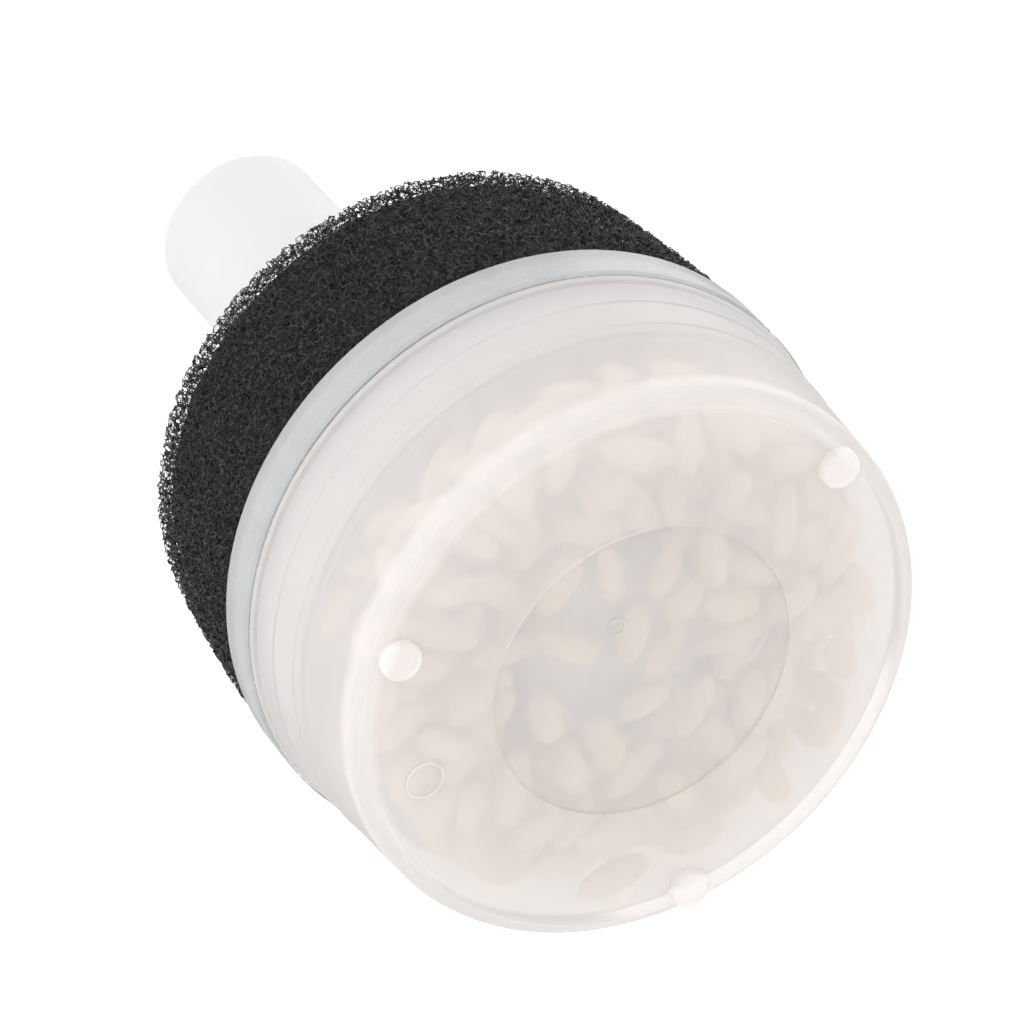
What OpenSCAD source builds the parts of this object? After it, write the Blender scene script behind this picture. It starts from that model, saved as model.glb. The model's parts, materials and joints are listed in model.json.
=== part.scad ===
// Small air-driven aquarium filter: a sponge ring on a lidded cup of bio granules.
// Water is drawn through the sponge and the slotted lid, down through the granules and into
// the foot of a central tube, where rising air bubbles lift it out at the top.
// +Z runs up the tube. The origin is on the axis, in the plane that the feet stand on.

/* [Cup] */
// Outer radius of the lid's lip, the widest part
rim_r = 30; // [28:0.5:34]
// Height of the three moulded feet below the cup's floor
foot_h = 1.1; // [0.8:0.1:2]
// Height of the cup's open rim above the feet's plane
rim_z = 21.5; // [20:0.5:26]
// Thickness of the cup's floor
floor_t = 1.5; // [1.2:0.1:2]
// Direction of the first foot, seen from above
foot_azimuth = 114; // [0:1:119]

/* [Sponge] */
// Height of the sponge's top above the feet's plane
sponge_top_z = 48.8; // [44:0.2:56]
// Radius of the hole through the sponge
sponge_bore_r = 11.8; // [11.7:0.1:12.5]

/* [Tubes] */
// Outer radius of the lift tube
tube_r = 8.8; // [8.6:0.1:9]
// Height of the lift tube's open end, with its insert, above the feet's plane
tube_top_z = 92.4; // [80:0.5:140]
// Outer radius of the air pipe
pipe_r = 2.3; // [2.2:0.1:2.5]
// Radius of the nipple that a 4 mm air line pushes onto
nipple_r = 2.1; // [2:0.05:2.2]
// How far the air pipe stands out of the lift tube
pipe_out = 7; // [6:0.5:12]

/* [Granules] */
// Radius of one rod-shaped granule
rod_r = 1.4; // [1.2:0.1:1.4]
// Length of one granule
rod_l = 6.5; // [5:0.5:6.5]

/* [Hidden] */
$fn = 96;

running = 0.05;          // radial clearance of each round fit
face_gap = 0.05;         // gap between faces that rest on each other
overshoot = 0.5;         // how far a cutter passes a face
arc_steps = 6;           // segments in a drawn fillet

// cup
floor_z = foot_h;                        // underside of the cup's floor
floor_top_z = floor_z + floor_t;
base_r = rim_r - 3.6;                    // flat underside
corner_r = 1.9;                          // rounding between underside and wall
low_wall_r = base_r + corner_r;
seat_z = rim_z - 8.2;                    // the lid's spigot reaches down to here
band_z = rim_z - 4.4;                    // second, slightly wider band of the wall
groove_z = rim_z - 1.1;                  // moulded groove under the rim
groove_w = 0.6;
groove_d = 0.22;
seat_r = rim_r - 2.15;                   // bore that takes the spigot
cup_rim_r = rim_r - 0.25;
inner_low_r = low_wall_r - 1.4;
inner_high_r = seat_r - 0.6;
foot_r = 1.93;
foot_ring_r = rim_r - 4.6;
foot_round = 0.45;
foot_root = 1;                           // how far a foot's root reaches up into the floor
recess_r = 14.83;                        // thinner disc in the middle of the floor
recess_d = 0.25;
mark_h = 0.12;                           // height of the raised moulding marks
gate_mark = [1.0, -5.9];
pin_mark = [-20.8, -8.1];

// lid
lid_z = rim_z + face_gap;
plate_t = 1.4;
plate_top_z = lid_z + plate_t;
lip_top_z = rim_z + 4.9;
lip_t = 1.3;
spigot_r = seat_r - running;
spigot_t = 1.2;
hub_top_z = plate_top_z + 4;
hub_ring_t = 1.15;
rib_count = 6;
rib_w = 2.5;
plate_slots = 24;
plate_slot_w = 1.6;
plate_slot_in_r = 14;
plate_slot_out_r = spigot_r - spigot_t - 1.6;

// riser, with its strainer
riser_r = tube_r - 1.3;
riser_t = 1.3;
riser_top_z = 45;
collar_h = 1.45;
collar_z = hub_top_z + face_gap;
hub_bore_r = riser_r + running;
strainer_z = floor_top_z + 4;            // it stands clear of the floor, on granules
riser_low_z = strainer_z + 3.85;
strainer_floor_t = 1;
strainer_top_z = strainer_z + 9.4;
strainer_r = riser_r + 1.4;
strainer_slots = 12;                     // an even number
strainer_slot_w = 1.6;

// core of the sponge
core_r = 11.5;
core_in_r = 10.1;
core_z = plate_top_z + face_gap;
core_top_z = 47.9;
core_columns = 8;
core_rows = 3;
core_slot_w = 2.2;
core_slot_h = 5.4;
core_row_pitch = 7.2;
cap_z = core_top_z + face_gap;
cap_flange_t = 1.45;
cap_spigot_h = 3;

// lift tube, insert and air line
tube_in_r = riser_r + running;
tube_z = collar_z + collar_h + face_gap;
insert_flange_t = 0.95;
tube_end_z = tube_top_z - insert_flange_t - face_gap;
insert_h = 5;
insert_t = 1.2;
insert_hub_t = 1.2;
spoke_count = 3;
spoke_w = 1.6;
spoke_bite = 0.4;                        // how far a spoke's ends reach into the ring and hub
stone_r = 4.2;
stone_h = 12;
stone_z = strainer_z + strainer_floor_t + 0.1;
stone_round = 0.6;
stem_r = 1.25;
stem_bore_r = 0.6;
stem_in = 5;
stem_up = 7;
stem_flange_r = 2.6;
stem_flange_t = 1;
pipe_bore_r = stem_r + running;
pipe_z = stone_z + stone_h + stem_flange_t;
pipe_top_z = tube_top_z + pipe_out;

// sponge
sponge_z = plate_top_z + 0.1;
sponge_seat_r = rim_r - lip_t - 0.3;
sponge_r = rim_r - 0.1;
sponge_top_r = rim_r - 1.2;
sponge_round = 2.4;

// granules lie in rings, in three layers
media_z = floor_top_z + rod_r + 0.3;
media_pitch_z = 4;
media_ring_r = [12.6, 16.4, 20.2, 23.9];
media_inner_r = [4.4, 8.5];              // rings under the strainer, in the lowest layer only
media_gap = 0.8;                         // least distance between the ends of two rods
media_yaw = 5;                           // how far a rod turns from its ring
media_tilt = 5;                          // how far a rod leans

// ---- shared shapes ----

// Points of a quarter circle about (x, y), from angle a to angle a + 90 or a - 90.
function quarter(x, y, r, a, turn = 90) =
    [for (i = [0 : arc_steps]) [x + r * cos(a + turn * i / arc_steps), y + r * sin(a + turn * i / arc_steps)]];

// A straight tube from z0 to z1.
module pipe(r_out, r_in, z0, z1) {
    translate([0, 0, z0])
    difference() {
        cylinder(r = r_out, h = z1 - z0);
        translate([0, 0, -overshoot]) cylinder(r = r_in, h = z1 - z0 + 2 * overshoot);
    }
}

// Copies of a child, evenly round the axis.
module around(count, first = 0) {
    for (i = [0 : count - 1]) rotate([0, 0, first + i * 360 / count]) children();
}

// A slot with round ends that runs outwards along +X, as a cutter from z0 to z1.
module radial_slot(r_in, r_out, w, z0, z1) {
    translate([0, 0, z0])
    linear_extrude(z1 - z0)
    union() {
        translate([r_in, -w / 2]) square([r_out - r_in, w]);
        translate([r_in, 0]) circle(d = w, $fn = 24);
        translate([r_out, 0]) circle(d = w, $fn = 24);
    }
}

// ---- cup ----

// Half section of the cup: outside going up, then inside coming down.
cup_section = concat(
    [[0, floor_z]],
    quarter(base_r, floor_z + corner_r, corner_r, -90),
    [[low_wall_r + 0.65, seat_z - 0.2],
     [low_wall_r + 0.75, seat_z],
     [low_wall_r + 0.9, band_z - 0.15],
     [low_wall_r + 1.02, band_z],
     [low_wall_r + 1.2, groove_z - groove_w / 2],
     [low_wall_r + 1.25 - groove_d, groove_z - groove_w / 4],
     [low_wall_r + 1.25 - groove_d, groove_z + groove_w / 4],
     [low_wall_r + 1.35, groove_z + groove_w / 2],
     [cup_rim_r, rim_z - 0.3],
     [cup_rim_r - 0.2, rim_z],
     [seat_r, rim_z],
     [seat_r, seat_z],
     [inner_high_r, seat_z]],
    quarter(inner_low_r - 1, floor_top_z + 1, 1, 0, -90),
    [[0, floor_top_z]]);

// One foot: a short peg with a rounded end, rooted in the cup's floor.
module foot() {
    rotate_extrude($fn = 48)
    polygon(concat(
        [[0, 0]],
        quarter(foot_r - foot_round, foot_round, foot_round, -90),
        [[foot_r, floor_z + foot_root], [0, floor_z + foot_root]]));
}

// A raised ring left by moulding, on the underside of the floor.
module moulding_mark(at, r, z) {
    translate([at[0], at[1], z - mark_h])
    difference() {
        cylinder(r = r, h = mark_h + 0.05, $fn = 32);
        translate([0, 0, -overshoot]) cylinder(r = r - 0.25, h = mark_h + 2 * overshoot, $fn = 32);
    }
}

module media_cup() {
    color([0.92, 0.92, 0.92, 0.6])
    union() {
        difference() {
            rotate_extrude() polygon(cup_section);
            translate([0, 0, floor_z - overshoot]) cylinder(r = recess_r, h = recess_d + overshoot);
        }
        around(3, foot_azimuth) translate([foot_ring_r, 0, 0]) foot();
        moulding_mark(gate_mark, 0.95, floor_z + recess_d);
        moulding_mark(pin_mark, 1.9, floor_z);
    }
}

// ---- granules ----

// One granule: a short rod lying along X.
module granule() {
    rotate([0, 90, 0]) cylinder(r = rod_r, h = rod_l, center = true, $fn = 16);
}

// One layer of granules. The lowest also lies under the strainer.
module granule_layer(layer) {
    rings = layer == 0 ? concat(media_inner_r, media_ring_r) : media_ring_r;
    color([0.9, 0.83, 0.72])
    for (ring = [0 : len(rings) - 1]) {
        r = rings[ring];
        count = floor(2 * PI * r / (rod_l + media_gap));
        for (i = [0 : count - 1]) {
            spin = i * 360 / count + 23 * layer + 11 * ring;
            yaw = media_yaw * sin(137 * i + 71 * ring + 50 * layer);
            tilt = media_tilt * sin(211 * i + 37 * ring + 90 * layer);
            rotate([0, 0, spin])
            translate([r, 0, media_z + layer * media_pitch_z])
            rotate([0, tilt, 90 + yaw])
            granule();
        }
    }
}

module media_lower() { granule_layer(0); }
module media_middle() { granule_layer(1); }
module media_upper() { granule_layer(2); }

// ---- lid ----

// Half section of the lid without its hub: spigot, plate and lip in one.
lid_section = concat(
    [[hub_bore_r, lid_z],
     [spigot_r - spigot_t, lid_z],
     [spigot_r - spigot_t, seat_z + 0.1],
     [spigot_r - 0.3, seat_z + 0.1],
     [spigot_r, seat_z + 0.4],
     [spigot_r, lid_z],
     [rim_r - 0.25, lid_z],
     [rim_r, lid_z + 0.25]],
    quarter(rim_r - 0.45, lip_top_z - 0.45, 0.45, 0),
    [[rim_r - lip_t + 0.2, lip_top_z],
     [rim_r - lip_t, lip_top_z - 0.2],
     [rim_r - lip_t, plate_top_z],
     [hub_bore_r, plate_top_z]]);

module cup_lid() {
    hub_ring_r = hub_bore_r + hub_ring_t;
    core_inside_r = core_in_r - running;
    color([0.8, 0.82, 0.83, 0.5])
    union() {
        difference() {
            rotate_extrude() polygon(lid_section);
            around(plate_slots)
                radial_slot(plate_slot_in_r, plate_slot_out_r, plate_slot_w,
                            lid_z - overshoot, plate_top_z + overshoot);
            difference() {
                pipe(core_inside_r, hub_ring_r, lid_z - overshoot, plate_top_z + overshoot);
                around(rib_count)
                    translate([0, -rib_w / 2, lid_z - 2 * overshoot]) cube([rim_r, rib_w, rim_z]);
            }
        }
        pipe(hub_ring_r, hub_bore_r, lid_z, hub_top_z);
        intersection() {
            pipe(core_inside_r, hub_bore_r, lid_z, hub_top_z);
            around(rib_count) translate([hub_bore_r + 0.3, -rib_w / 2, lid_z]) cube([rim_r, rib_w, rim_z]);
        }
    }
}

// ---- riser ----

module riser_tube() {
    color([0.94, 0.94, 0.94, 0.6])
    difference() {
        union() {
            translate([0, 0, riser_low_z]) cylinder(r = riser_r, h = riser_top_z - riser_low_z);
            translate([0, 0, collar_z]) cylinder(r = tube_r, h = collar_h);
        }
        translate([0, 0, riser_low_z - overshoot])
            cylinder(r = riser_r - riser_t, h = riser_top_z - riser_low_z + 2 * overshoot);
    }
}

// Slotted foot that the riser's lower end stands in.
module foot_strainer() {
    chamber_z = strainer_z + strainer_floor_t;
    color([0.82, 0.84, 0.86, 0.7])
    difference() {
        translate([0, 0, strainer_z]) cylinder(r = strainer_r, h = strainer_top_z - strainer_z);
        translate([0, 0, chamber_z]) cylinder(r = riser_r - riser_t, h = strainer_top_z);
        translate([0, 0, riser_low_z]) cylinder(r = riser_r + 0.02, h = strainer_top_z);
        around(strainer_slots / 2)
            translate([-rim_r, -strainer_slot_w / 2, chamber_z])
            cube([2 * rim_r, strainer_slot_w, riser_low_z - chamber_z - 0.3]);
    }
}

// ---- sponge and its core ----

module sponge_core() {
    color([0.3, 0.31, 0.32])
    difference() {
        pipe(core_r, core_in_r, core_z, core_top_z);
        for (row = [0 : core_rows - 1])
            around(core_columns)
                translate([0, -core_slot_w / 2, core_z + 2.2 + row * core_row_pitch])
                cube([rim_r, core_slot_w, core_slot_h]);
    }
}

module core_cap() {
    cap_top_z = cap_z + cap_flange_t;
    cap_bore_r = tube_r + running;
    color([0.3, 0.31, 0.32])
    rotate_extrude()
    polygon(concat(
        [[cap_bore_r, cap_z - cap_spigot_h],
         [core_in_r - running, cap_z - cap_spigot_h],
         [core_in_r - running, cap_z],
         [core_r, cap_z]],
        quarter(core_r - 0.4, cap_top_z - 0.4, 0.4, 0),
        [[cap_bore_r, cap_top_z]]));
}

// The sponge: a ring, pinched where it stands in the lid's lip.
module sponge() {
    color([0.16, 0.16, 0.17])
    rotate_extrude()
    polygon(concat(
        [[sponge_bore_r, sponge_z],
         [sponge_seat_r, sponge_z],
         [sponge_seat_r, lip_top_z + 0.2],
         [sponge_r, lip_top_z + 0.6]],
        quarter(sponge_top_r - sponge_round, sponge_top_z - sponge_round, sponge_round, 0),
        [[sponge_bore_r, sponge_top_z]]));
}

// ---- lift tube and air line ----

module lift_tube() {
    color([0.96, 0.96, 0.96, 0.6])
    pipe(tube_r, tube_in_r, tube_z, tube_end_z);
}

// Insert in the tube's open end: water leaves between its spokes.
module air_holder() {
    insert_z = tube_end_z - insert_h;
    ring_r = tube_in_r - running;
    ring_in_r = ring_r - insert_t;
    hub_r = pipe_r + running + insert_hub_t;
    color([0.94, 0.94, 0.94, 0.7])
    union() {
        rotate_extrude()
        polygon([[ring_in_r, insert_z], [ring_r, insert_z], [ring_r, tube_end_z + face_gap],
                 [tube_r, tube_end_z + face_gap], [tube_r, tube_top_z], [ring_in_r, tube_top_z]]);
        pipe(hub_r, pipe_r + running, insert_z, tube_top_z);
        around(spoke_count, foot_azimuth)
            translate([hub_r - spoke_bite, -spoke_w / 2, insert_z + spoke_bite])
            cube([ring_in_r - hub_r + 2 * spoke_bite, spoke_w, insert_h - spoke_bite]);
    }
}

module air_pipe() {
    nipple_z = tube_top_z + 0.5;
    color([0.9, 0.9, 0.9, 0.8])
    difference() {
        union() {
            translate([0, 0, pipe_z]) cylinder(r = pipe_r, h = nipple_z - pipe_z);
            translate([0, 0, nipple_z]) cylinder(r = nipple_r, h = pipe_top_z - nipple_z);
        }
        translate([0, 0, pipe_z - overshoot])
            cylinder(r = pipe_bore_r, h = pipe_top_z - pipe_z + 2 * overshoot);
    }
}

// Hollow stem between the air pipe and the stone.
module stone_nipple() {
    stem_z = stone_z + stone_h - stem_in;
    color([0.9, 0.9, 0.9])
    difference() {
        union() {
            translate([0, 0, stem_z]) cylinder(r = stem_r, h = stem_in + stem_flange_t + stem_up);
            translate([0, 0, stone_z + stone_h]) cylinder(r = stem_flange_r, h = stem_flange_t);
        }
        translate([0, 0, stem_z - overshoot])
            cylinder(r = stem_bore_r, h = stem_in + stem_flange_t + stem_up + 2 * overshoot, $fn = 32);
    }
}

module air_stone() {
    color([0.55, 0.6, 0.66])
    difference() {
        translate([0, 0, stone_z])
        rotate_extrude()
        polygon(concat(
            [[0, 0]],
            quarter(stone_r - stone_round, stone_round, stone_round, -90),
            quarter(stone_r - stone_round, stone_h - stone_round, stone_round, 0),
            [[0, stone_h]]));
        translate([0, 0, stone_z + stone_h - stem_in])
            cylinder(r = stem_r + 0.02, h = stem_in + overshoot);
    }
}

media_cup();
media_lower();
media_middle();
media_upper();
cup_lid();
riser_tube();
foot_strainer();
sponge_core();
core_cap();
sponge();
lift_tube();
air_holder();
air_pipe();
stone_nipple();
air_stone();
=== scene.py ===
# %% [markdown]
# # A small sponge filter
# A ring of dark foam and a frosted lift tube stand on a lidded cup of ceramic granules.
# The rigid pieces arrive as finished solids, already in place and in metres. This lesson
# gives them frosted and clear plastic finishes, and builds what a solid can't show: the open
# cells of the foam, the heap of uneven granules and the porous air stone.

# %% Load the frame
import json
import math
import random

import bpy
import numpy as np
from mathutils import Matrix, Vector, kdtree, noise


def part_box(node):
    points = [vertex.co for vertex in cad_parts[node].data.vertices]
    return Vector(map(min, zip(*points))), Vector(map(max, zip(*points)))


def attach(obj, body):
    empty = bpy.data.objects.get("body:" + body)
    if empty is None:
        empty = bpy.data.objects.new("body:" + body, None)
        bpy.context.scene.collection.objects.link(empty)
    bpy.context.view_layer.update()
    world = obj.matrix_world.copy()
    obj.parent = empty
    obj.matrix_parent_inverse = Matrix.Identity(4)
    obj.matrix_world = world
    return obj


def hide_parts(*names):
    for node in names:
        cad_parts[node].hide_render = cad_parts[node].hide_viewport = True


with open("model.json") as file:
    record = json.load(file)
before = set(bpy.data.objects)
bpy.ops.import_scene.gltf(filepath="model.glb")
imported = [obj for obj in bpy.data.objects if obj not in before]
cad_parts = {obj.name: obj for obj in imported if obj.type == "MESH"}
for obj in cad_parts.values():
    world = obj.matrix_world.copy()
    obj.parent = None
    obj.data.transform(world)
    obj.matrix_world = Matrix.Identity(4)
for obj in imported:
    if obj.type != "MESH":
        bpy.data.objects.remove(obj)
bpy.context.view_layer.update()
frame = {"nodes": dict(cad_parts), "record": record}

MM = 0.001
nodes = frame["nodes"]
body_of_node = {n: b for b, ns in frame["record"]["behaviour"]["bodies"].items() for n in ns}
print("nodes:", sorted(nodes))

# %% [markdown]
# ## Measures taken from the frame
# The sizes below are read from the boxes of the solids, so a change there carries over. Only
# the height of the feet is typed in, because no box shows it.

# %% Read the sizes
lid_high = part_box("cup_lid")[1]
foam_low, foam_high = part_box("sponge")
core_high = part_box("sponge_core")[1]
stone_low, stone_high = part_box("air_stone")
strainer_low, strainer_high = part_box("foot_strainer")
rim_r = lid_high[0]
FOOT_H = 1.1 * MM
print("rim radius", round(rim_r / MM, 2), "mm, sponge top", round(foam_high[2] / MM, 2), "mm")

# %% [markdown]
# ## Shader sums as Python
# A material is easier to read as sums than as a web of nodes. This small class wraps one
# socket, and each operator adds the Math node that does it.


# %% Socket wrapper
class Wire:
    def __init__(self, tree, socket):
        self.tree = tree
        self.socket = socket

    def math(self, operation, *others, clamp=False):
        n = self.tree.nodes.new("ShaderNodeMath")
        n.operation = operation
        n.use_clamp = clamp
        for socket, value in zip(n.inputs, (self, *others)):
            plug(self.tree, socket, value)
        return Wire(self.tree, n.outputs[0])

    def __add__(self, other):
        return self.math("ADD", other)

    def __sub__(self, other):
        return self.math("SUBTRACT", other)

    def __mul__(self, other):
        return self.math("MULTIPLY", other)

    def __rsub__(self, other):
        flipped = self.math("MULTIPLY", -1.0)
        return flipped + other

    __radd__ = __add__
    __rmul__ = __mul__

    def clamped(self):
        return self.math("ADD", 0.0, clamp=True)


def plug(tree, socket, value):
    """Links a Wire to the socket, or sets the socket to a plain value."""
    if isinstance(value, Wire):
        tree.links.new(value.socket, socket)
    else:
        socket.default_value = value


class Paint:
    """A new material, with one method for any node."""

    def __init__(self, name):
        self.material = bpy.data.materials.new(name)
        self.material.use_nodes = True
        self.tree = self.material.node_tree
        self.tree.nodes.clear()

    def node(self, kind, settings=None, out=0, **sockets):
        n = self.tree.nodes.new("ShaderNode" + kind)
        for key, value in (settings or {}).items():
            if key == "stops":
                set_stops(n.color_ramp, value)
            else:
                setattr(n, key, value)
        for key, value in sockets.items():
            name = key.replace("_", " ")
            socket = n.inputs[int(name[1:])] if name[1:].isdigit() else n.inputs[name]
            plug(self.tree, socket, value)
        return Wire(self.tree, n.outputs[out])

    def finish(self, surface):
        end = self.tree.nodes.new("ShaderNodeOutputMaterial")
        self.tree.links.new(surface.socket, end.inputs["Surface"])
        return self.material


def set_stops(ramp, stops):
    """Gives a colour ramp its stops, each a place and a grey or colour."""
    while len(ramp.elements) < len(stops):
        ramp.elements.new(0.5)
    for element, (place, colour) in zip(ramp.elements, stops):
        element.position = place
        element.color = (*colour, 1.0) if isinstance(colour, tuple) else (colour, colour, colour, 1.0)


# %% [markdown]
# ## Frosted plastic
# The cup and the tubes are moulded from milky polypropylene. Light gets through, but a fine
# haze in the wall and a matt skin blur what lies behind. Glass with absorption would be dark
# and slow, so the wall is a blend: a rough, barely bending refraction that blurs the view,
# and a milky body that both reflects and passes light. The haze varies slowly, as the wall's
# thickness does, and a very fine bump keeps the skin from looking polished. Where the cup is
# thick, in its feet and round the corner of its floor, more haze adds up and it looks whiter,
# and the thinner disc in the middle of the floor is clearer.


# %% Frosted plastic
FLOOR_DISC_R = 14.83 * MM
CORNER_R = rim_r - 3.9 * MM
CORNER_TOP = FOOT_H + 2.3 * MM
CORNER_HAZE, FEET_HAZE, DISC_HAZE = 0.17, 0.2, 0.03


def ramp_up(value, start, width):
    """0 below start, 1 above start + width."""
    return ((value - start) * (1.0 / width)).clamped()


def thickness_haze(p, place):
    """Haze to add where the cup's wall is thick, and to take away where it is thin."""
    height = p.node("SeparateXYZ", out=2, Vector=place)
    flat = p.node("Mapping", Vector=place, Scale=(1.0, 1.0, 0.0))
    away = p.node("VectorMath", {"operation": "LENGTH"}, out=1, _0=flat)
    near_floor = 1.0 - ramp_up(height, CORNER_TOP, 1.2 * MM)
    disc = (1.0 - ramp_up(away, FLOOR_DISC_R, 0.1 * MM)) * near_floor
    corner = ramp_up(away, CORNER_R, 0.7 * MM) * near_floor
    feet = 1.0 - ramp_up(height, FOOT_H - 0.2 * MM, 0.15 * MM)
    return corner * CORNER_HAZE + feet * FEET_HAZE - disc * DISC_HAZE


def frosted(name, milk, blur, tint, through=0.45, thickness=None):
    p = Paint(name)
    place = p.node("TexCoord", out=3)
    cloud = p.node("TexNoise", Vector=place, Scale=140.0, Detail=3.0)
    grain = p.node("TexNoise", Vector=place, Scale=5200.0, Detail=2.0)
    skin = p.node("Bump", Strength=0.05, Distance=0.00006, Height=grain)
    haze = (cloud - 0.5) * 0.06 + milk
    if thickness:
        haze = haze + thickness(p, place)
    body_colour = p.node(
        "Mix", {"data_type": "RGBA"}, out=2,
        Factor=cloud, _6=(*tint, 1.0), _7=(tint[0] * 0.985, tint[1] * 0.98, tint[2] * 0.975, 1.0))
    view = p.node(
        "BsdfRefraction", Color=(0.97, 0.97, 0.965, 1.0), Roughness=blur, IOR=1.12, Normal=skin)
    body = p.node(
        "BsdfPrincipled", Base_Color=body_colour, Roughness=cloud * 0.08 + 0.42, Normal=skin)
    glow = p.node("BsdfTranslucent", Color=(*tint, 1.0))
    milky = p.node("MixShader", Fac=through, _1=body, _2=glow)
    return p.finish(p.node("MixShader", Fac=haze.clamped(), _1=view, _2=milky))


# %% [markdown]
# ## Clear lid plastic
# The lid is a clearer resin with less haze. Its lip shows the dark foam behind it as a grey
# band, with fine handling scratches that run round it.


# %% Clear plastic
def clear_plastic(name, milk):
    p = Paint(name)
    place = p.node("TexCoord", out=3)
    stretch = p.node("Mapping", Vector=place, Scale=(60.0, 60.0, 2600.0))
    scratch = p.node("TexNoise", Vector=stretch, Scale=14.0, Detail=4.0)
    marks = p.node("ValToRGB", {"stops": [(0.62, 0.0), (0.7, 1.0)]}, Fac=scratch)
    cloud = p.node("TexNoise", Vector=place, Scale=220.0, Detail=2.0)
    skin = p.node("Bump", Strength=0.12, Distance=0.00005, Height=scratch)
    view = p.node(
        "BsdfRefraction", Color=(0.93, 0.94, 0.945, 1.0), Roughness=0.12, IOR=1.08, Normal=skin)
    gloss = p.node(
        "BsdfPrincipled", Base_Color=(0.87, 0.875, 0.88, 1.0), Roughness=marks * 0.3 + 0.22, Normal=skin)
    haze = (cloud - 0.5) * 0.08 + marks * 0.12 + milk
    return p.finish(p.node("MixShader", Fac=haze.clamped(), _1=view, _2=gloss))


# %% [markdown]
# ## Opaque finishes
# The granules are fired clay: cream, dusty, with darker pits. The foam is carbon-dark
# polyether whose struts catch a little light, and its inner body is painted near-black with
# darker cell centres, as painted shade deep in the pores. The core is plain dark plastic,
# and the air stone is bonded blue-grey grit.


# %% Opaque finishes
def fired_clay():
    p = Paint("fired_clay")
    place = p.node("TexCoord", out=3)
    patch = p.node("TexNoise", Vector=place, Scale=260.0, Detail=3.0)
    pits = p.node("TexVoronoi", Vector=place, Scale=2600.0)
    colour = p.node(
        "ValToRGB",
        {"stops": [
            (0.3, (0.72, 0.50, 0.30)), (0.52, (0.86, 0.68, 0.46)), (0.72, (0.92, 0.80, 0.62))]},
        Fac=patch)
    skin = p.node("Bump", Strength=0.5, Distance=0.0002, Height=pits)
    return p.finish(p.node("BsdfPrincipled", Base_Color=colour, Roughness=patch * 0.2 + 0.75, Normal=skin))


def foam_strut():
    p = Paint("foam_strut")
    place = p.node("TexCoord", out=3)
    fleck = p.node("TexNoise", Vector=place, Scale=2400.0, Detail=2.0)
    colour = p.node(
        "ValToRGB", {"stops": [(0.35, 0.006), (0.55, 0.016), (0.75, 0.055)]}, Fac=fleck)
    return p.finish(p.node("BsdfPrincipled", Base_Color=colour, Roughness=fleck * 0.3 + 0.3))


def foam_depth():
    p = Paint("foam_depth")
    place = p.node("TexCoord", out=3)
    cells = p.node("TexVoronoi", Vector=place, Scale=1900.0)
    # Painted shade: near-black, darker than the struts, and darker in the cell centres, for the shade deep
    # in the foam's pores.
    colour = p.node("ValToRGB", {"stops": [(0.1, 0.002), (0.6, 0.012)]}, Fac=cells)
    skin = p.node("Bump", Strength=0.9, Distance=0.0003, Height=cells)
    return p.finish(p.node("BsdfPrincipled", Base_Color=colour, Roughness=cells * 0.2 + 0.7, Normal=skin))


def satin_dark():
    p = Paint("satin_dark")
    place = p.node("TexCoord", out=3)
    cloud = p.node("TexNoise", Vector=place, Scale=180.0, Detail=4.0)
    grain = p.node("TexNoise", Vector=place, Scale=3800.0, Detail=1.0)
    colour = p.node("ValToRGB", {"stops": [(0.3, 0.012), (0.7, 0.022)]}, Fac=cloud)
    skin = p.node("Bump", Strength=0.15, Distance=0.00005, Height=grain)
    return p.finish(p.node("BsdfPrincipled", Base_Color=colour, Roughness=cloud * 0.2 + 0.35, Normal=skin))


def bonded_grit():
    p = Paint("bonded_grit")
    place = p.node("TexCoord", out=3)
    grit = p.node("TexVoronoi", Vector=place, Scale=2100.0)
    patch = p.node("TexNoise", Vector=place, Scale=900.0, Detail=3.0)
    colour = p.node(
        "ValToRGB", {"stops": [(0.3, (0.20, 0.26, 0.33)), (0.7, (0.42, 0.49, 0.55))]}, Fac=patch)
    skin = p.node("Bump", Strength=0.8, Distance=0.0003, Height=grit)
    return p.finish(p.node("BsdfPrincipled", Base_Color=colour, Roughness=patch * 0.1 + 0.85, Normal=skin))


cup_finish = frosted(
    "frosted_cup", milk=0.56, blur=0.18, tint=(0.965, 0.945, 0.94), through=0.35, thickness=thickness_haze)
tube_finish = frosted("frosted_tube", milk=0.82, blur=0.3, tint=(0.92, 0.92, 0.92), through=0.45)
insert_finish = frosted("frosted_insert", milk=0.85, blur=0.3, tint=(0.95, 0.95, 0.95))
lid_finish = clear_plastic("clear_lid", milk=0.38)
pipe_finish = clear_plastic("clear_pipe", milk=0.5)
clay = fired_clay()
strut_finish, depth_shade_finish = foam_strut(), foam_depth()
dark = satin_dark()
grit_finish = bonded_grit()
print("finishes:", len(bpy.data.materials))


# %% [markdown]
# ## Finish the rigid pieces
# Moulded pieces keep their own solid, which already has the true shape, and take a finish.


# %% Give each solid its finish
FINISH = {
    "media_cup": cup_finish, "cup_lid": lid_finish, "riser_tube": tube_finish,
    "foot_strainer": tube_finish, "lift_tube": tube_finish, "air_holder": insert_finish,
    "air_pipe": pipe_finish, "stone_nipple": insert_finish, "sponge_core": dark, "core_cap": dark}
for name, finish in FINISH.items():
    solid = nodes[name]
    if not solid.material_slots:
        solid.data.materials.append(finish)
    for held in solid.material_slots:
        held.link = "OBJECT"
        held.material = finish
print("finished", len(FINISH), "solids")


# %% [markdown]
# ## Helper for built pieces
# Every built piece rides with the body of the solid that it stands for, hides that solid, and
# takes its finish's slot.


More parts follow.
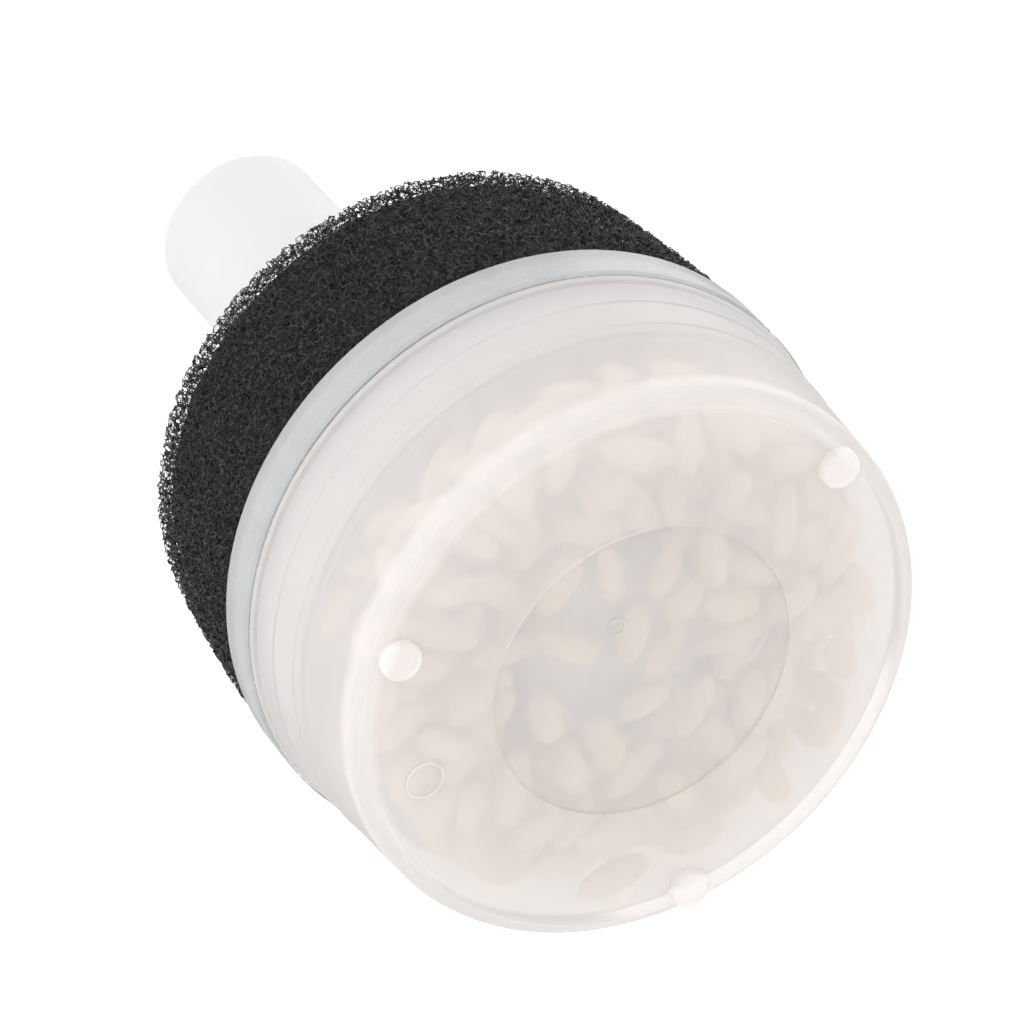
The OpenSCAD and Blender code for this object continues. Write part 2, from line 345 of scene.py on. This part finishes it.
# %% Make a piece from points and faces
def make_piece(name, points, faces, finish, node, smooth=True):
    mesh = bpy.data.meshes.new(name)
    mesh.from_pydata(points, [], faces)
    mesh.materials.append(finish)
    mesh.update()
    if smooth:
        mesh.shade_smooth()
    piece = bpy.data.objects.new(name, mesh)
    bpy.context.scene.collection.objects.link(piece)
    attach(piece, body_of_node[node])
    print(name, len(points), "points", len(faces), "faces")
    return piece


# %% [markdown]
# ## Granules
# Each granule is a short extruded rod, broken and rounded by tumbling. One rod is a stack of
# rings whose radius swells in the middle, and noise pushes every point in or out, so no two
# are alike. They are thrown into the cup one at a time: a throw is kept only if its centre
# line stays clear of every rod already there, which packs them as a loose heap does. The rods
# taper, so two centre lines may come a little closer than their radii add up to.


# %% Throw the granules
HEAP_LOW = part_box("media_lower")[0][2] - 0.2 * MM
HEAP_HIGH = 16.0 * MM
HEAP_IN = strainer_high[0] + 0.2 * MM
HEAP_UNDER = strainer_low[2] - 0.1 * MM
HEAP_OUT = rim_r - 3.5 * MM
THROWS = 26000
CLOSENESS = 0.86
LAYERS = ("media_lower", "media_middle", "media_upper")
heap_rng = random.Random(41)


def segment_gap(a0, a1, b0, b1):
    """Least distance from segment a to each of the segments b, by sampling along both."""
    steps = np.linspace(0, 1, 7)
    a = a0 + (a1 - a0) * steps[:, None]
    b = b0[:, None] + (b1 - b0)[:, None] * steps[None, :, None]
    apart = np.linalg.norm(a[None, :, None] - b[:, None, :], axis=3)
    return apart.min(axis=(1, 2))


def throw_granules(tries):
    starts, ends, radii = [], [], []
    for attempt in range(tries):
        depth = attempt / tries
        length = heap_rng.uniform(4.8, 8.2) * MM
        radius = heap_rng.uniform(1.25, 1.75) * MM
        low = HEAP_LOW + radius
        rise = min(1.0, max(0.0, heap_rng.gauss(depth, 0.12)))
        height = low + (HEAP_HIGH - radius - low) * rise
        lean = heap_rng.gauss(0, 0.12 if depth < 0.3 else 0.3)
        turn = heap_rng.uniform(0, math.tau)
        bearing = heap_rng.uniform(0, math.tau)
        away = math.sqrt(heap_rng.uniform(0, HEAP_OUT ** 2))
        half = np.array(
            [math.cos(turn) * math.cos(lean), math.sin(turn) * math.cos(lean), math.sin(lean)])
        half *= length / 2 - radius
        centre = np.array([away * math.cos(bearing), away * math.sin(bearing), height])
        tips = np.array([centre - half, centre, centre + half])
        reach = np.hypot(tips[:, 0], tips[:, 1])
        beside_strainer = tips[:, 2].max() + radius > HEAP_UNDER
        if reach.max() > HEAP_OUT - radius or (beside_strainer and reach.min() < HEAP_IN + radius):
            continue
        if tips[:, 2].min() < low or tips[:, 2].max() > HEAP_HIGH - radius:
            continue
        if starts:
            gap = segment_gap(tips[0], tips[2], np.array(starts), np.array(ends))
            if (gap < CLOSENESS * (radius + np.array(radii))).any():
                continue
        starts.append(tips[0])
        ends.append(tips[2])
        radii.append(radius)
    return list(zip(starts, ends, radii))


heap = throw_granules(THROWS)
print("granules", len(heap))


# %% Shape the granules
RINGS, SIDES = 11, 12


def granule_mesh(start, end, radius, seed, points, faces):
    """Adds one tumbled rod to the lists of points and faces."""
    first = len(points)
    along = Vector(end) - Vector(start)
    turn = along.to_track_quat("Z", "Y")
    middle = (Vector(start) + Vector(end)) / 2
    half = along.length / 2
    flat = 0.82 + 0.16 * noise.noise(Vector((seed * 3.1, 0.5, 0.5)))
    for i in range(RINGS + 1):
        angle = -math.pi / 2 + math.pi * i / RINGS
        ring_r = radius * max(0.02, math.cos(angle)) ** 0.62
        z = half * math.sin(angle) + radius * math.copysign(abs(math.sin(angle)) ** 1.6, angle)
        for k in range(SIDES):
            side = math.tau * k / SIDES
            p = Vector((ring_r * math.cos(side), ring_r * flat * math.sin(side), z))
            bump = noise.noise(p * 420 + Vector((seed * 7.7, seed, 0)))
            p *= 1 + 0.13 * bump
            points.append(tuple(middle + turn @ p))
    for i in range(RINGS):
        for k in range(SIDES):
            a = first + i * SIDES + k
            b = first + i * SIDES + (k + 1) % SIDES
            faces.append((a, b, b + SIDES, a + SIDES))
    faces.append(tuple(first + k for k in reversed(range(SIDES))))
    faces.append(tuple(first + RINGS * SIDES + k for k in range(SIDES)))


for layer, node in enumerate(LAYERS):
    points, faces = [], []
    for seed, (start, end, radius) in enumerate(heap):
        level = ((start[2] + end[2]) / 2 - HEAP_LOW) / (HEAP_HIGH - HEAP_LOW)
        if min(2, int(level * 3)) == layer:
            granule_mesh(start, end, radius, seed, points, faces)
    granules = make_piece("granules_" + node.split("_")[1], points, faces, clay, node)
    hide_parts(node)

# %% [markdown]
# ## The foam's inner body
# Open-cell foam is a net of struts with nothing solid in it. Filling the whole ring with
# struts would take millions, and only the outermost cells are ever seen. So a dark body
# fills the middle, just under the surface, and a shell of real struts covers it. The body
# is painted darker than the struts, and darker still in its cell centres: painted shade for
# the depth of the pores. The body's outline follows the pinch in the lid's lip, the bulge
# above it and the worn round top edge.
# The lid is highest at its hub, half a millimetre above the lip, and the bulge is set out from
# that height, so that the foam stays clear of the lip's edge.

# %% Outline of the foam
FOAM_BORE = core_high[0] + 0.3 * MM
LID_TOP = lid_high[2]
BULGE_LOW, BULGE_H = LID_TOP - 0.6 * MM, 1.6 * MM
SEAT_R = rim_r - 1.6 * MM
SIDE_R = rim_r - 0.2 * MM
TOP_R = rim_r - 1.6 * MM
EDGE = 3.0 * MM
SHELL = 1.15 * MM


def foam_outline(inset):
    """Half section of the foam ring, from the bore's foot round the outside to the bore's top."""
    low, top = foam_low[2] + inset, foam_high[2] - inset
    seat, side, rim = SEAT_R - inset, SIDE_R - inset, TOP_R - inset
    line = [(FOAM_BORE + inset, low), (seat, low), (seat, BULGE_LOW)]
    for i in range(1, 6):
        t = i / 5
        bulge_r = seat + (side - seat) * math.sin(t * math.pi / 2)
        line.append((bulge_r, BULGE_LOW + BULGE_H * t))
    for i in range(1, 6):
        t = i / 5
        side_z = LID_TOP + MM + (top - EDGE - LID_TOP - MM) * t
        line.append((side + (rim - side) * t ** 1.5, side_z))
    for i in range(1, 7):
        a = math.pi / 2 * i / 6
        line.append((rim - EDGE + EDGE * math.cos(a), top - EDGE + EDGE * math.sin(a)))
    line.append((FOAM_BORE + inset, top))
    return line


def resample(line, step):
    """The same outline with a point about every step."""
    out = []
    for (r0, z0), (r1, z1) in zip(line, line[1:] + line[:1]):
        count = max(1, round(math.hypot(r1 - r0, z1 - z0) / step))
        out += [(r0 + (r1 - r0) * i / count, z0 + (z1 - z0) * i / count) for i in range(count)]
    return out


def ring_body(outline, sides, wobble):
    points, faces = [], []
    n = len(outline)
    for k in range(sides):
        a = math.tau * k / sides
        for r, z in outline:
            p = Vector((r * math.cos(a), r * math.sin(a), z))
            push = wobble * noise.noise(p * 900)
            points.append(tuple(p + Vector((math.cos(a), math.sin(a), 0)) * push))
    for k in range(sides):
        for i in range(n):
            j = (i + 1) % n
            m = (k + 1) % sides
            faces.append((k * n + i, m * n + i, m * n + j, k * n + j))
    return points, faces


# The body's finish is painted shade for the depth of the foam.
points, faces = ring_body(resample(foam_outline(SHELL), 0.9 * MM), 220, 0.25 * MM)
foam_body = make_piece("foam_body", points, faces, depth_shade_finish, "sponge")
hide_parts("sponge")

# %% [markdown]
# ## The foam's net of struts
# Cell corners are scattered through the shell, and each is joined to its nearest neighbours
# by thin three-sided struts. That is how the real net grows, and it gives the broken, fuzzy
# edge that a bump map can't.

# %% Scatter the corners
NET_SPACING = 0.40 * MM
STRUT_R = 0.042 * MM
STRUT_REACH = 0.7 * MM
net_rng = np.random.default_rng(7)


def scatter_shell(outline, spacing, thickness):
    """Random points in the shell under the outline, thinning out towards it. The bore and the foot,
    which are only seen with the sponge lifted off, get fewer."""
    rows = []
    for (r0, z0), (r1, z1) in zip(outline, outline[1:] + outline[:1]):
        length = math.hypot(r1 - r0, z1 - z0)
        in_bore = max(r0, r1) < FOAM_BORE + 0.1 * MM
        in_foot = max(z0, z1) < foam_low[2] + 0.1 * MM
        share = 0.15 if in_bore else 0.35 if in_foot else 1.0
        area = math.pi * (r0 + r1) * length
        count = int(area * thickness / spacing ** 3 * share)
        t = net_rng.random(count)
        a = net_rng.random(count) * math.tau
        depth = net_rng.random(count) ** 0.75 * thickness
        normal = ((z1 - z0) / length, -(r1 - r0) / length)
        r = r0 + (r1 - r0) * t - normal[0] * depth
        z = z0 + (z1 - z0) * t - normal[1] * depth
        rows.append(np.stack([r * np.cos(a), r * np.sin(a), z], axis=1))
    return np.concatenate(rows)


corners = scatter_shell(foam_outline(0.0), NET_SPACING, SHELL)
print("corners", len(corners))


# %% Join them with struts
def net_of_struts(corners, radius, reach, wanted):
    """Three-sided struts from each corner to its nearest neighbours within reach."""
    tree = kdtree.KDTree(len(corners))
    for i, c in enumerate(corners):
        tree.insert(c, i)
    tree.balance()
    pairs = set()
    for i, c in enumerate(corners):
        found = tree.find_n(c, wanted + 1)
        pairs.update((min(i, j), max(i, j)) for _, j, d in found if j != i and d < reach)
    pairs = np.array(sorted(pairs))
    a, b = corners[pairs[:, 0]], corners[pairs[:, 1]]
    way = (b - a) / np.linalg.norm(b - a, axis=1, keepdims=True)
    aside = np.cross(way, net_rng.normal(size=way.shape))
    aside /= np.linalg.norm(aside, axis=1, keepdims=True)
    third = np.cross(way, aside)
    rings = []
    for k in range(3):
        angle = math.tau * k / 3
        spoke = (aside * math.cos(angle) + third * math.sin(angle)) * radius
        rings += [a + spoke, b + spoke]
    points = np.stack(rings, axis=1).reshape(-1, 3)
    base = np.arange(len(pairs))[:, None] * 6
    sides = [base + np.array([side]) for side in ([0, 1, 3, 2], [2, 3, 5, 4], [4, 5, 1, 0])]
    return points, np.stack(sides, axis=1).reshape(-1, 4)


points, faces = net_of_struts(corners, STRUT_R, STRUT_REACH, 3)
foam_net = make_piece("foam_net", points.tolist(), faces.tolist(), strut_finish, "sponge", smooth=False)
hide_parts("sponge")

# %% [markdown]
# ## The air stone
# The stone is grit bonded in a mould. A subdivided drum with noise at two scales gives the
# lumpy skin, and the rounded ends come from the outline.


# %% Air stone
DRUM_HOLE = 0.15 * MM


def lumpy_drum(radius, low, high, edge, sides=72):
    outline = [(DRUM_HOLE, low)]
    outline += [(radius - edge + edge * math.sin(a), low + edge - edge * math.cos(a))
                for a in (math.pi / 2 * i / 5 for i in range(6))]
    outline += [(radius - edge + edge * math.cos(a), high - edge + edge * math.sin(a))
                for a in (math.pi / 2 * i / 5 for i in range(6))]
    outline += [(DRUM_HOLE, high)]
    line = resample(outline, 0.35 * MM)[:-1]
    points, faces = [], []
    for k in range(sides):
        a = math.tau * k / sides
        for r, z in line:
            p = Vector((r * math.cos(a), r * math.sin(a), z))
            lump = 0.10 * MM * noise.noise(p * 1500) + 0.06 * MM * noise.noise(p * 3500) - 0.08 * MM
            out = Vector((math.cos(a), math.sin(a), 0)) if r > 0.2 * MM else Vector()
            points.append(tuple(p + out * lump))
    n = len(line)
    for k in range(sides):
        m = (k + 1) % sides
        faces += [(k * n + i, m * n + i, m * n + (i + 1) % n, k * n + (i + 1) % n) for i in range(n)]
    return points, faces


points, faces = lumpy_drum(stone_high[0], stone_low[2], stone_high[2], 0.6 * MM)
stone = make_piece("grit_stone", points, faces, grit_finish, "air_stone")
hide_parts("air_stone")

# %% [markdown]
# ## Floor, light and camera
# The filter is seen from underneath, so the floor it stands on shows only from above: its
# back is clear, and it doesn't hold light off the cup's underside. The light is a white sky,
# with one broad soft lamp from the upper left and a weak one from the right, so that the
# frosted walls keep their shape.


# %% Floor
def one_sided_floor():
    p = Paint("pale_floor")
    place = p.node("TexCoord", out=3)
    cloud = p.node("TexNoise", Vector=place, Scale=9.0, Detail=3.0)
    colour = p.node("ValToRGB", {"stops": [(0.3, 0.80), (0.7, 0.84)]}, Fac=cloud)
    paper = p.node("BsdfPrincipled", Base_Color=colour, Roughness=0.9)
    back = p.node("NewGeometry", out=6)
    clear = p.node("BsdfTransparent")
    return p.finish(p.node("MixShader", Fac=back, _1=paper, _2=clear))


floor_mesh = bpy.data.meshes.new("floor")
floor_half = 3.0
floor_mesh.from_pydata(
    [(-floor_half, -floor_half, 0), (floor_half, -floor_half, 0), (floor_half, floor_half, 0),
     (-floor_half, floor_half, 0)], [], [(0, 1, 2, 3)])
floor_mesh.materials.append(one_sided_floor())
floor = bpy.data.objects.new("floor", floor_mesh)
bpy.context.scene.collection.objects.link(floor)
for kind in ("diffuse", "glossy", "transmission", "shadow"):
    setattr(floor, "visible_" + kind, False)

# %% Sky and lamps
scene = bpy.context.scene
sky = bpy.data.worlds.new("white_sky")
scene.world = sky
sky.use_nodes = True
sky_light = sky.node_tree.nodes["Background"]
sky_light.inputs["Color"].default_value = (1.0, 1.0, 1.0, 1.0)
sky_light.inputs["Strength"].default_value = 1.25
scene.view_settings.view_transform = "Standard"


def soft_lamp(name, place, size, watts):
    data = bpy.data.lights.new(name, "AREA")
    data.shape = "DISK"
    data.size = size
    data.energy = watts
    lamp = bpy.data.objects.new(name, data)
    lamp.location = place
    lamp.rotation_euler = (Vector((0, 0, 0.03)) - Vector(place)).to_track_quat("-Z", "Y").to_euler()
    scene.collection.objects.link(lamp)


soft_lamp("key", (-0.30, -0.42, 0.10), 0.35, 0.5)
soft_lamp("fill", (0.45, 0.15, 0.45), 0.4, 0.6)

# %% Camera
LENS = 202.95
CAMERA_FORWARD = 345.6 * MM
CAMERA_BELOW = 386.3 * MM
CAMERA_ASIDE = 1.0 * MM
PITCH_UP = math.radians(50.235)
ROLL = math.radians(42.39)
camera_data = bpy.data.cameras.new("camera")
camera_data.lens = LENS
camera_data.sensor_width = 36.0
camera_data.clip_start = 0.01
camera = bpy.data.objects.new("camera", camera_data)
camera.location = (CAMERA_ASIDE, -CAMERA_FORWARD, FOOT_H - CAMERA_BELOW)
level = Matrix.Rotation(math.pi / 2 + PITCH_UP, 4, "X")
camera.rotation_mode = "QUATERNION"
camera.rotation_quaternion = (level @ Matrix.Rotation(-ROLL, 4, "Z")).to_quaternion()
scene.collection.objects.link(camera)
scene.camera = camera
